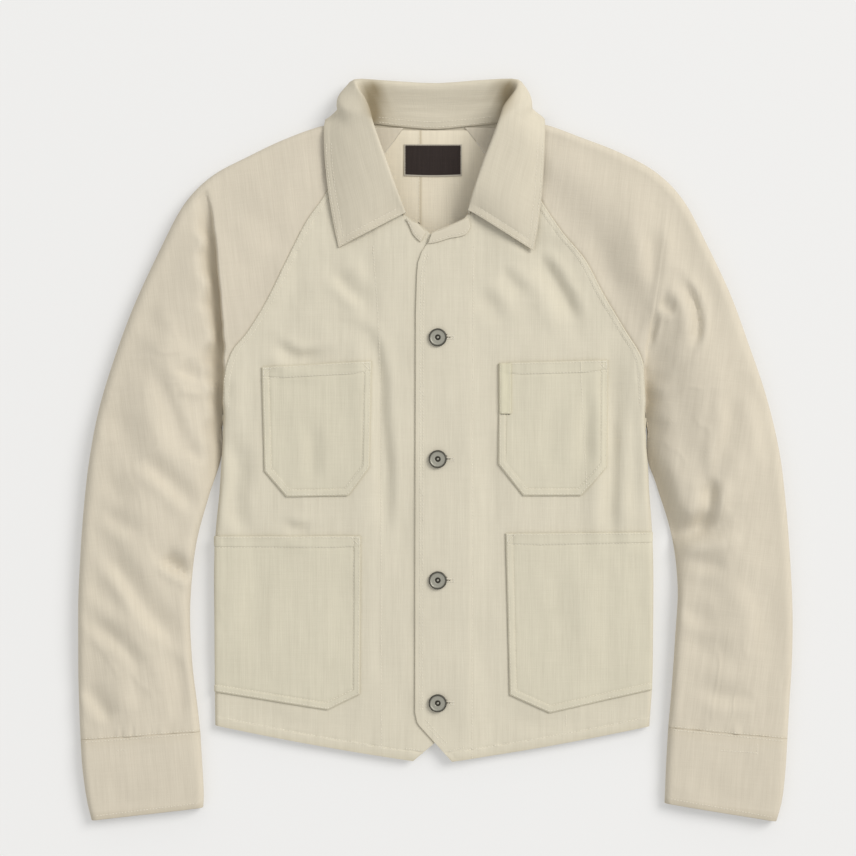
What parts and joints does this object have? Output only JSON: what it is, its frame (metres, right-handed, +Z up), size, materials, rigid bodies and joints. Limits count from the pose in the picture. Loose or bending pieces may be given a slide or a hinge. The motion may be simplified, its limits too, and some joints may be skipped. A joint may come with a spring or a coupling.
{
  "type": "jacket laid flat",
  "caption": "Buttoned four-pocket work jacket in woven cloth, laid flat on its back, with a fold-over collar, raglan sleeves, plain cuffs and patch pockets.",
  "frame": {"origin": "under the middle of the jacket's outline, on the surface it lies on", "axes": "+Z up from the surface, +Y from the hem to the collar, +X towards the wearer's left sleeve"},
  "size_m": [0.7144, 0.7429, 0.0339],
  "materials": {
    "front_cloth": "matt ecru slub cloth",
    "sleeve_cloth": "matt ecru slub cloth, slightly warmer",
    "back_cloth": "matt ecru slub cloth",
    "collar_cloth": "matt ecru slub cloth",
    "pocket_cloth": "matt ecru slub cloth",
    "label": "dark woven label",
    "button_metal": "worn grey-green metal"
  },
  "bodies": {
    "root": {"front_left": "front_cloth", "front_right": "front_cloth", "sleeve_left": "sleeve_cloth", "sleeve_right": "sleeve_cloth", "cuff_left": "sleeve_cloth", "cuff_right": "sleeve_cloth", "back_left": "back_cloth", "back_right": "back_cloth", "collar": "collar_cloth", "neck_band_left": "collar_cloth", "neck_band_right": "collar_cloth", "pocket_chest_left": "pocket_cloth", "pocket_chest_right": "pocket_cloth", "pocket_lower_left": "pocket_cloth", "pocket_lower_right": "pocket_cloth", "pocket_tab": "pocket_cloth", "neck_label": "label", "button_1": "button_metal", "button_2": "button_metal", "button_3": "button_metal", "button_4": "button_metal"}
  },
  "joints": []
}
